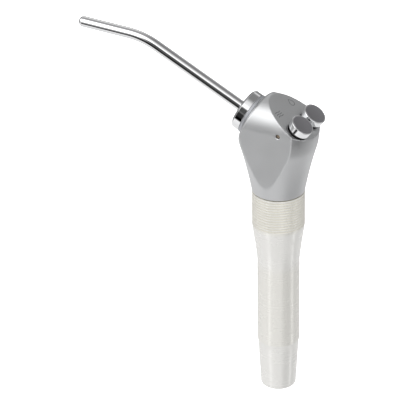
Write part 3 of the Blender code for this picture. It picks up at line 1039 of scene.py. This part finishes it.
    def _etched(
        self, name: str, lines: list[list[Pair]], place: Matrix, closed: bool = True
    ) -> bpy.types.Object:
        """Flat strokes that lie on a surface.

        Args:
            name: The mark's name.
            lines: The strokes' centre lines in mm.
            place: The mark's frame, with Z out of the surface.
            closed: Whether each line joins up.

        Returns:
            The mark as a mesh.
        """
        bm = bmesh.new()
        for line in lines:
            centre = np.array(line) * MM
            if closed:
                ahead = np.roll(centre, -1, axis=0) - np.roll(centre, 1, axis=0)
            else:
                ahead = np.gradient(centre, axis=0)
            ahead /= np.linalg.norm(ahead, axis=1)[:, None]
            side = np.stack([-ahead[:, 1], ahead[:, 0]], axis=1) * self.mark_stroke * MM
            rows = [[bm.verts.new((*p, 0.0)) for p in centre + sign * side] for sign in (1, -1)]
            count = len(line)
            for i in range(count if closed else count - 1):
                k = (i + 1) % count
                bm.faces.new((rows[0][i], rows[1][i], rows[1][k], rows[0][k]))
        obj = from_bmesh(name, bm, place)
        thick = obj.modifiers.new("Etch", "SOLIDIFY")
        thick.thickness = self.mark_thickness * MM
        thick.offset = 0.0
        return baked(obj, sharp_degrees=45)

    def build(self, fitter: Fitter, axes: Axes) -> None:
        """Builds the drilled head, its marks and its pin.

        Args:
            fitter: Fits and dresses the pieces.
            axes: The frame's axes.
        """
        air, water = axes.button("air"), axes.button("water")
        face = air.copy()
        face.translation = (air.translation + water.translation) / 2
        nozzle = axes.nozzle()
        head = self._casting(axes.seam_frame(), face, nozzle)
        cutters = self._cutters(axes, nozzle)
        for cutter in cutters:
            cut(head, cutter)
        baked(head, sharp_degrees=32)
        for cutter in cutters:
            bpy.data.objects.remove(cutter, do_unlink=True)
        fitter.fit(head, SATIN_ALUMINIUM, Body.HOUSING, Slot.SATIN, "head_body")
        ahead = Matrix.Translation((self.mark_ahead * MM, 0.0, 0.0))
        quarter = Matrix.Rotation(-math.pi / 2, 4, "Z")
        for button, make, name in ((air, self._waves, "air_mark"), (water, self._drop, "water_mark")):
            mark = make(name, self.mark_size, button @ ahead @ quarter)
            fitter.fit(mark, ETCHED_MARK, Body.HOUSING, Slot.SATIN)
        self._pin(fitter)

    def _pin(self, fitter: Fitter) -> None:
        """Builds the retaining pin, with softened ends.

        Args:
            fitter: Fits the pin.
        """
        low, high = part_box("retaining_pin")
        half, radius = (high.y - low.y) / 2 / MM, (high.z - low.z) / 2 / MM
        tip, shoulder, soft = radius * 0.8, half - 0.3, 0.2
        outline = rounded([(0.0, half, 0), (tip, half, soft), (radius, shoulder, soft),
                           (radius, -shoulder, soft), (tip, -half, soft), (0.0, -half, 0)])
        place = Matrix.Translation((low + high) / 2) @ Matrix.Rotation(math.pi / 2, 4, "X")
        pin = baked(turned("cross_pin", outline, place, steps=48), sharp_degrees=40)
        fitter.fit(pin, PIN_STEEL, Body.HOUSING, Slot.STEEL, "retaining_pin")


@dataclass
class PushButton:
    """One push button: a chromed cap with a dark disc let into its top, over its valve.

    The spring's end turns are closed, closed_pitch wire radii apart. Pressed home, the spring keeps
    spring_keep, the share of its length that the spring would keep pressed home, is not used.
    """

    name: str
    body: Body
    cap_radius: float = 4.34
    cap_edge: float = 0.22
    rise: float = 3.8
    gap: float = 1.1
    neck_radius: float = 3.5
    neck_end: float = -1.5
    cavity_radius: float = 2.9
    cavity_top: float = 2.4
    disc_radius: float = 3.86
    disc_clearance: float = 0.03
    seat_clearance: float = 0.05
    skirt_clearance: float = 0.02
    shoulder_rise: float = 0.4
    inlay: float = 0.35
    rim_drop: float = 0.08
    coil_radius: float = 2.3
    wire_radius: float = 0.24
    spring_foot: float = -5.9
    spring_head: float = 2.3
    spring_turns: float = 7.0
    closed_pitch: float = 2.1
    coil_samples: int = 28
    wire_sides: int = 12
    spring_keep: float = 0.88

    def build(self, fitter: Fitter, axes: Axes) -> None:
        """Builds the cap, its disc and its spring, and dresses the valve under them.

        Args:
            fitter: Fits and dresses the pieces.
            axes: The frame's axes.
        """
        place = axes.button(self.name)
        low, top = self.rise - self.inlay, self.rise - self.rim_drop
        seat, shoulder = low - self.seat_clearance, self.gap + self.shoulder_rise
        pocket, collar = self.disc_radius + self.disc_clearance, self.neck_radius + self.skirt_clearance
        cap = rounded([
            (0.0, seat, 0), (pocket, seat, 0), (pocket, top, 0.02), (self.cap_radius, top, self.cap_edge),
            (self.cap_radius, self.gap, 0.25), (collar, self.gap, 0.05), (collar, shoulder, 0),
            (self.cavity_radius, shoulder, 0), (self.cavity_radius, self.cavity_top, 0.1),
            (0.0, self.cavity_top, 0),
        ])
        rim = baked(turned(self.name + "_cap_rim", cap, place), sharp_degrees=35)
        fitter.fit(rim, BRIGHT_CHROME, self.body, Slot.BUTTON, self.name + "_button_cap")
        brim = shoulder - self.skirt_clearance
        skirt = rounded([
            (self.cavity_radius, brim, 0), (self.neck_radius, brim, 0.02),
            (self.neck_radius, self.neck_end, 0.15), (self.cavity_radius, self.neck_end, 0),
        ])
        neck = baked(turned(self.name + "_cap_neck", skirt, place, hollow=True), sharp_degrees=35)
        # The neck is near black: painted shade for the gap under the cap.
        fitter.fit(neck, PAINTED_SHADE_NECK, self.body, Slot.BUTTON)
        inlay = rounded([(0.0, self.rise, 0), (self.disc_radius, self.rise, 0.06),
                         (self.disc_radius, low, 0.03), (0.0, low, 0)])
        disc = baked(turned(self.name + "_cap_disc", inlay, place), sharp_degrees=35)
        fitter.fit(disc, DARK_DISC, self.body, Slot.BUTTON)
        self._wind_spring(fitter, place)
        self._dress_valve(fitter)

    def _wind_spring(self, fitter: Fitter, place: Matrix) -> None:
        """Winds the return spring with closed ends.

        Args:
            fitter: Fits the spring.
            place: The button's frame.
        """
        low, high = self.spring_foot + self.wire_radius, self.spring_head - self.wire_radius
        closed = self.closed_pitch * self.wire_radius
        turns = np.linspace(0.0, self.spring_turns, int(self.spring_turns * self.coil_samples) + 1)
        heights = np.interp(turns, (0.0, 1.0, self.spring_turns - 1.0, self.spring_turns),
                            (low, low + closed, high - closed, high))
        rings, up = [], Vector((0.0, 0.0, 1.0))
        for a, height in zip(turns * 2 * math.pi, heights):
            out = Vector((math.cos(a), math.sin(a), 0.0))
            rings.append((out * self.coil_radius + up * height, out, up, self.wire_radius))
        wire = swept(self.name + "_coil_spring", rings, self.wire_sides, place, looped=False)
        spring = baked(wire, sharp_degrees=45)
        fitter.fit(spring, SPRING_STEEL, Body.HOUSING, Slot.STEEL, self.name + "_valve_spring")
        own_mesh(spring)

    def _dress_valve(self, fitter: Fitter) -> None:
        """Dresses the valve parts, which stay the CAD's own.

        Args:
            fitter: Dresses the parts.
        """
        fitter.dress_node(self.name + "_valve_stem", VALVE_STEEL)
        fitter.dress_node(self.name + "_valve_sleeve", NICKEL_BRASS)
        for seal in ("_stem_oring", "_sleeve_oring_upper", "_sleeve_oring_lower"):
            fitter.dress_node(self.name + seal, SEAL_RUBBER)


@dataclass
class NozzleClamp:
    """The trim ring and the nut that clamps the nozzle, with the collet and seals behind them."""

    ring_radius: float = 7.9
    ring_bore: float = 6.15
    ring_rear: float = 0.04
    ring_front: float = 1.05
    nut_radius: float = 7.8
    nut_front: float = 4.65
    nut_rear: float = 1.15
    nut_chamfer: float = 0.7
    hub_radius: float = 5.85
    hub_end: float = -4.4
    collet_mouth: float = 4.05
    collet_throat: float = 2.75
    collet_top: float = 1.6
    bore: float = 2.2
    bore_start: float = 1.9
    bore_middle: float = 2.4
    bore_chamfer: float = 0.12
    steps: int = 128

    def build(self, fitter: Fitter, axes: Axes) -> None:
        """Builds the ring and the nut, and dresses what they hold.

        Args:
            fitter: Fits and dresses the pieces.
            axes: The frame's axes.
        """
        place = axes.nozzle()
        ring = rounded([
            (self.ring_bore, self.ring_front, 0), (self.ring_radius, self.ring_front, 0.1),
            (self.ring_radius, self.ring_rear, 0.05), (self.ring_bore, self.ring_rear, 0),
        ])
        trim = baked(turned("trim_ring", ring, place, self.steps, hollow=True), sharp_degrees=35)
        fitter.fit(trim, RING_ALUMINIUM, Body.HOUSING, Slot.SATIN, "head_ring")
        edge = self.nut_radius - self.nut_chamfer
        nut = rounded([
            (self.bore, self.nut_front - self.bore_chamfer, 0),
            (self.bore + self.bore_chamfer, self.nut_front, 0.05),
            (edge, self.nut_front, 0.12), (self.nut_radius, self.nut_front - self.nut_chamfer, 0.12),
            (self.nut_radius, self.nut_rear, 0.12), (self.hub_radius, self.nut_rear, 0.05),
            (self.hub_radius, self.hub_end, 0.1), (self.collet_mouth, self.hub_end, 0.05),
            (self.collet_throat, self.collet_top, 0.05), (self.bore, self.bore_start, 0.05),
            (self.bore, self.bore_middle, 0),
        ])
        clamp_nut = baked(turned("clamp_nut", nut, place, self.steps, hollow=True), sharp_degrees=35)
        fitter.fit(clamp_nut, BRIGHT_CHROME, Body.NUT, Slot.CHROME, "nozzle_nut")
        for name in ("tip_collet", "water_socket"):
            fitter.dress_node(name, NICKEL_BRASS)
        fitter.dress_node("oring_washer", VALVE_STEEL)
        for name in ("tip_oring", "water_socket_seal"):
            fitter.dress_node(name, SEAL_RUBBER)


@dataclass
class BentRoute:
    """The nozzle's centre line: a straight run, one bend in the XZ plane and a straight run.

    Distances along it start at the tail.
    """

    tail: float
    first_run: float = 50.0
    second_run: float = 26.4
    bend: float = math.radians(24.2)
    bend_radius: float = 28.0

    @property
    def bend_start(self) -> float:
        """Distance from the tail to where the bend starts."""
        return self.first_run - self.bend_radius * math.tan(self.bend / 2) - self.tail

    @property
    def bend_end(self) -> float:
        """Distance from the tail to where the bend ends."""
        return self.bend_start + self.bend_radius * self.bend

    @property
    def length(self) -> float:
        """The whole length of the line."""
        return self.bend_end + self.second_run - self.bend_radius * math.tan(self.bend / 2)

    def at(self, distance: float) -> tuple[Vector, Vector]:
        """A point on the line.

        Args:
            distance: How far from the tail.

        Returns:
            The point and the line's direction there.
        """
        if distance <= self.bend_start:
            return Vector((0.0, 0.0, self.tail + distance)), Vector((0.0, 0.0, 1.0))
        a = min((distance - self.bend_start) / self.bend_radius, self.bend)
        ahead = Vector((math.sin(a), 0.0, math.cos(a)))
        rise = self.tail + self.bend_start + self.bend_radius * math.sin(a)
        point = Vector((self.bend_radius * (1 - math.cos(a)), 0.0, rise))
        return point + ahead * max(0.0, distance - self.bend_end), ahead


@dataclass(frozen=True)
class Lip:
    """How a tube's end is drawn in.

    Args:
        length: How far back the rounding starts.
        draw: How much narrower the end is.
        wall: Wall thickness at the end.
    """

    length: float
    draw: float
    wall: float


@dataclass(frozen=True)
class Tube:
    """One of the nozzle's bent tubes.

    Args:
        name: The piece's name.
        node: The CAD node that it stands for.
        finish: Its finish.
        slot: The record's slot for it, handed on to the fitter.
        tail: Height of its inner end in the nozzle's frame.
        radius: Outside radius.
        wall: Wall thickness.
        lip: How its tip is drawn in.
    """

    name: str
    node: str
    finish: Finish
    slot: Slot
    tail: float
    radius: float
    wall: float
    lip: Lip


@dataclass
class Nozzle:
    """The bent outer tube, its water tube and its ferrule."""

    tubes: tuple[Tube, ...] = (
        Tube("bent_tube", "nozzle_tube", POLISHED_TUBE, Slot.POLISHED,
             tail=-8.0, radius=2.0, wall=0.45, lip=Lip(length=1.5, draw=0.95, wall=0.2)),
        Tube("water_tube", "nozzle_water_tube", BORE_STEEL, Slot.STEEL,
             tail=-10.2, radius=0.62, wall=0.22, lip=Lip(length=0.1, draw=0.1, wall=0.12)),
    )
    tail_chamfer: float = 0.15
    tail_run: float = 0.3
    tip_run: float = 4.0
    tip_step: float = 0.02
    bend_rings: int = 25
    lip_rings: int = 12
    mouth_rings: int = 8
    sides: int = 64

    @staticmethod
    def _drawn_in(end: float, length: float, radius: float, draw: float, angles: np.ndarray) -> list[Pair]:
        """Stations of a rounded end.

        Args:
            end: Distance of the end along the line.
            length: How far back the rounding starts.
            radius: The radius where it starts.
            draw: How much narrower the end is.
            angles: Angles along the rounding, up to a quarter turn at the end.

        Returns:
            (distance along the line, radius) of each ring.
        """
        return [(end - length * (1 - math.sin(a)), radius - draw * (1 - math.cos(a))) for a in angles]

    def _stations(self, route: BentRoute, tube: Tube) -> list[Pair]:
        """Stations of a tube's skin, down the outside to the tip and back inside.

        Args:
            route: The tube's centre line.
            tube: The tube.

        Returns:
            (distance along the line, radius) of each ring.
        """
        lip, inner = tube.lip, tube.radius - tube.wall
        bend = np.linspace(route.bend_start, route.bend_end, self.bend_rings)
        plain = [float(d) for d in (self.tail_run, *bend, route.length - self.tip_run)]
        out = np.linspace(0.0, math.pi / 2, self.lip_rings)
        back = np.linspace(math.pi / 2, 0.0, self.mouth_rings)
        stations = [(0.0, tube.radius - self.tail_chamfer), (self.tail_chamfer, tube.radius)]
        stations += [(d, tube.radius) for d in plain]
        stations += self._drawn_in(route.length, lip.length, tube.radius, lip.draw, out)
        stations += self._drawn_in(route.length - self.tip_step, lip.length, inner,
                                   lip.draw - tube.wall + lip.wall, back)
        stations += [(d, inner) for d in reversed(plain)]
        return stations + [(0.0, inner)]

    def _make(self, tube: Tube, place: Matrix) -> bpy.types.Object:
        """A bent tube with a rounded tip and an open bore.

        Args:
            tube: The tube.
            place: The nozzle's frame.

        Returns:
            The tube's object.
        """
        route, side = BentRoute(tube.tail), Vector((0.0, 1.0, 0.0))
        rings = []
        for distance, radius in self._stations(route, tube):
            centre, ahead = route.at(distance)
            rings.append((centre, side, ahead.cross(side), radius))
        return baked(swept(tube.name, rings, self.sides, place, looped=True), sharp_degrees=45)

    def build(self, fitter: Fitter, axes: Axes) -> None:
        """Builds both tubes and dresses the ferrule.

        Args:
            fitter: Fits and dresses the pieces.
            axes: The frame's axes.
        """
        for tube in self.tubes:
            fitter.fit(self._make(tube, axes.nozzle()), tube.finish, Body.NOZZLE, tube.slot, tube.node)
        fitter.dress_node("nozzle_ferrule", NICKEL_BRASS)


# ---------------------------------------------------------------- studio


def grey(level: float) -> tuple[float, ...]:
    """A grey of this level, as a shader's colour."""
    return (level, level, level, 1.0)


@dataclass(frozen=True)
class Patch:
    """A soft round patch of the surroundings, seen in one direction.

    Args:
        towards: The direction in which it lies.
        inner: Half angle in degrees inside which it is full.
        outer: Half angle at which it is gone.
        level: Its brightness.
    """

    towards: Triple
    inner: float
    outer: float
    level: float


@dataclass(frozen=True)
class Strip:
    """A tall rectangular soft box beside the handle.

    Args:
        towards: The direction from the handle in which it hangs.
        distance: How far away it hangs, in metres.
        width: Its width in metres.
        height: Its height in metres.
        power: Its power in watts.
    """

    towards: Triple
    distance: float
    width: float
    height: float
    power: float


@dataclass
class Studio:
    """Camera, pale floor and the soft surroundings that the metal reflects."""

    camera_place: Triple = (-0.5454, 1.0515, 0.7300)
    camera_aim: Triple = (0.0243, 0.0151, 0.0785)
    camera_up: Triple = (0.222, -0.428, 0.876)
    lens: float = 334.1
    sensor: float = 36.0
    clip: Pair = (0.05, 20.0)
    floor_drop: float = 1.80
    floor_size: float = 9.0
    floor_grey: float = 0.9
    floor_glow: float = 0.8
    handle_heart: Triple = (0.0, 0.0, 0.04)
    strips: dict[str, Strip] = field(default_factory=lambda: {
        "near_strip": Strip((0.34, 0.81, -0.48), 0.6, 0.08, 0.34, 0.22),
        "far_strip": Strip((-0.84, -0.25, -0.48), 0.6, 0.05, 0.34, 0.16),
        "fill": Strip((-0.76, 0.53, 0.1), 1.0, 0.8, 0.8, 1.9),
    })
    bands: tuple[Pair, ...] = (
        (-1.0, 0.85), (-0.82, 0.88), (-0.62, 1.0), (-0.40, 0.98), (-0.15, 0.75), (0.0, 0.6),
        (0.14, 0.8), (0.34, 1.15), (0.7, 1.2), (1.0, 0.8),
    )
    patches: tuple[Patch, ...] = (
        Patch((0.42, 0.54, 0.70), 21.0, 39.0, 2.35),
        Patch((-0.26, -0.50, 0.82), 16.0, 46.0, 0.24),
        Patch((0.42, -0.20, 0.88), 16.0, 35.0, 0.42),
        Patch((-0.42, 0.77, -0.48), 16.0, 30.0, 0.85),
        Patch((-0.80, -0.42, -0.42), 12.0, 30.0, 0.45),
        Patch((-0.89, 0.26, -0.34), 17.0, 31.0, 0.0),
        Patch((0.93, -0.25, 0.10), 20.0, 40.0, 0.27),
        Patch((0.90, 0.40, -0.10), 10.0, 25.0, 0.40),
        Patch((0.18, -0.95, -0.05), 14.0, 32.0, 0.25),
        Patch((-0.02, 0.91, 0.40), 9.0, 21.0, 0.09),
        Patch((0.20, 0.97, -0.05), 8.0, 20.0, 0.03),
        Patch((0.38, 0.85, -0.36), 6.0, 16.0, 0.0),
        Patch((-0.45, -0.88, -0.05), 14.0, 30.0, 0.08),
        Patch((0.65, -0.75, 0.05), 10.0, 26.0, 0.12),
    )

    def add_camera(self) -> None:
        """Makes the camera and looks through it."""
        data = bpy.data.cameras.new("camera")
        data.lens = self.lens
        data.sensor_width = self.sensor
        data.clip_start, data.clip_end = self.clip
        camera = bpy.data.objects.new("camera", data)
        bpy.context.scene.collection.objects.link(camera)
        place, aim = Vector(self.camera_place), Vector(self.camera_aim)
        back = (place - aim).normalized()
        right = Vector(self.camera_up).cross(back).normalized()
        camera.matrix_world = standing(place, right, back.cross(right), back)
        bpy.context.scene.camera = camera

    def add_strip(self, name: str, strip: Strip, receivers: bpy.types.Collection) -> None:
        """Hangs a tall soft box that lights only the handle.

        Args:
            name: The light's name.
            strip: Where it hangs and how big it is.
            receivers: The collection that it lights.
        """
        data = bpy.data.lights.new(name, "AREA")
        data.shape = "RECTANGLE"
        data.size, data.size_y = strip.width, strip.height
        data.energy = strip.power
        light = bpy.data.objects.new(name, data)
        bpy.context.scene.collection.objects.link(light)
        heart = Vector(self.handle_heart)
        towards = Vector(strip.towards).normalized()
        flat, up = Vector((towards.x, towards.y, 0.0)).normalized(), Vector((0.0, 0.0, 1.0))
        light.matrix_world = standing(heart + towards * strip.distance, up.cross(flat), up, flat)
        light.light_linking.receiver_collection = receivers

    def light_handle(self, sleeve: bpy.types.Object) -> None:
        """Lights the handle's sleeve alone with tall strips, for its long highlights.

        Args:
            sleeve: The handle's sleeve.
        """
        receivers = bpy.data.collections.new("handle_only")
        receivers.objects.link(sleeve)
        for name, strip in self.strips.items():
            self.add_strip(name, strip, receivers)

    def add_floor(self) -> None:
        """Lays a pale floor well below the handle's end."""
        bm = bmesh.new()
        bmesh.ops.create_grid(bm, x_segments=1, y_segments=1, size=self.floor_size / 2)
        floor = from_bmesh("floor", bm, Matrix.Translation((0.0, 0.0, -self.floor_drop)))
        pale = bpy.data.materials.new("pale_floor")
        pale.use_nodes = True
        shader = pale.node_tree.nodes["Principled BSDF"]
        shader.inputs["Base Color"].default_value = grey(self.floor_grey)
        shader.inputs["Roughness"].default_value = 0.9
        shader.inputs["Emission Color"].default_value = grey(1.0)
        shader.inputs["Emission Strength"].default_value = self.floor_glow
        floor.data.materials.append(pale)
        floor.visible_glossy = False
        floor.visible_diffuse = False
        floor.visible_shadow = False

    def add_surroundings(self) -> None:
        """Makes the world: white to the camera, and soft bands and patches to everything else."""
        world = bpy.data.worlds.new("studio")
        world.use_nodes = True
        bpy.context.scene.world = world
        tree = NodeTree(world.node_tree)
        world.node_tree.nodes.clear()
        view = tree.add("ShaderNodeTexCoord").outputs["Generated"]
        height = tree.add("ShaderNodeSeparateXYZ", Vector=view).outputs[2]
        level = self._banded(tree, height)
        for patch in self.patches:
            level = self._patched(tree, view, level, patch)
        seen = tree.add("ShaderNodeLightPath").outputs["Is Camera Ray"]
        colour = tree.mix(seen, level, grey(1.0))
        back = tree.add("ShaderNodeBackground", Color=colour, Strength=1.0)
        tree.add("ShaderNodeOutputWorld", Surface=back.outputs[0])

    def _banded(self, tree: NodeTree, height: bpy.types.NodeSocket) -> bpy.types.NodeSocket:
        """Brightness by height above the horizon, eased between the bands' levels.

        Args:
            tree: The world's nodes.
            height: The view direction's Z.

        Returns:
            The brightness as a colour's socket.
        """
        level: object = grey(self.bands[0][1])
        for (low, _), (high, value) in zip(self.bands, self.bands[1:]):
            level = tree.mix(tree.ramp(height, low, high, 0.0, 1.0), level, grey(value))
        return level

    def _patched(
        self, tree: NodeTree, view: bpy.types.NodeSocket, level: bpy.types.NodeSocket, patch: Patch
    ) -> bpy.types.NodeSocket:
        """Lays one patch over the brightness so far.

        Args:
            tree: The world's nodes.
            view: The view direction.
            level: The brightness so far.
            patch: The patch.

        Returns:
            The new brightness as a colour's socket.
        """
        dot = tree.tree.nodes.new("ShaderNodeVectorMath")
        dot.operation = "DOT_PRODUCT"
        tree.feed(dot.inputs[0], view)
        tree.feed(dot.inputs[1], Vector(patch.towards).normalized())
        wide, full = math.cos(math.radians(patch.outer)), math.cos(math.radians(patch.inner))
        share = tree.ramp(dot.outputs["Value"], wide, full, 0.0, 1.0)
        return tree.mix(share, level, grey(patch.level))

    def build(self) -> None:
        """Builds the floor and the surroundings, and shows colours as they are."""
        self.add_floor()
        self.add_surroundings()
        self.light_handle(bpy.data.objects["handle_sleeve"])
        bpy.context.scene.view_settings.view_transform = "Standard"


def corners(box: tuple[Vector, Vector]) -> list[list[float]]:
    """A box's two corners as plain lists."""
    return [list(corner) for corner in box]


def main() -> None:
    """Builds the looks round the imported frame, sub-assembly by sub-assembly."""
    logging.basicConfig(level=logging.INFO, format="%(name)s: %(message)s")
    for obj in list(bpy.data.objects):
        bpy.data.objects.remove(obj, do_unlink=True)
    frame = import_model()
    studio = Studio()
    studio.add_camera()
    fitter, axes = Fitter(frame), Axes(frame)
    Handle().build(fitter, axes)
    Head().build(fitter, axes)
    PushButton("air", Body.AIR_BUTTON).build(fitter, axes)
    PushButton("water", Body.WATER_BUTTON).build(fitter, axes)
    NozzleClamp().build(fitter, axes)
    Nozzle().build(fitter, axes)
    studio.build()
    LOG.info("%d pieces fitted", fitter.fitted)


if __name__ == "__main__":
    main()
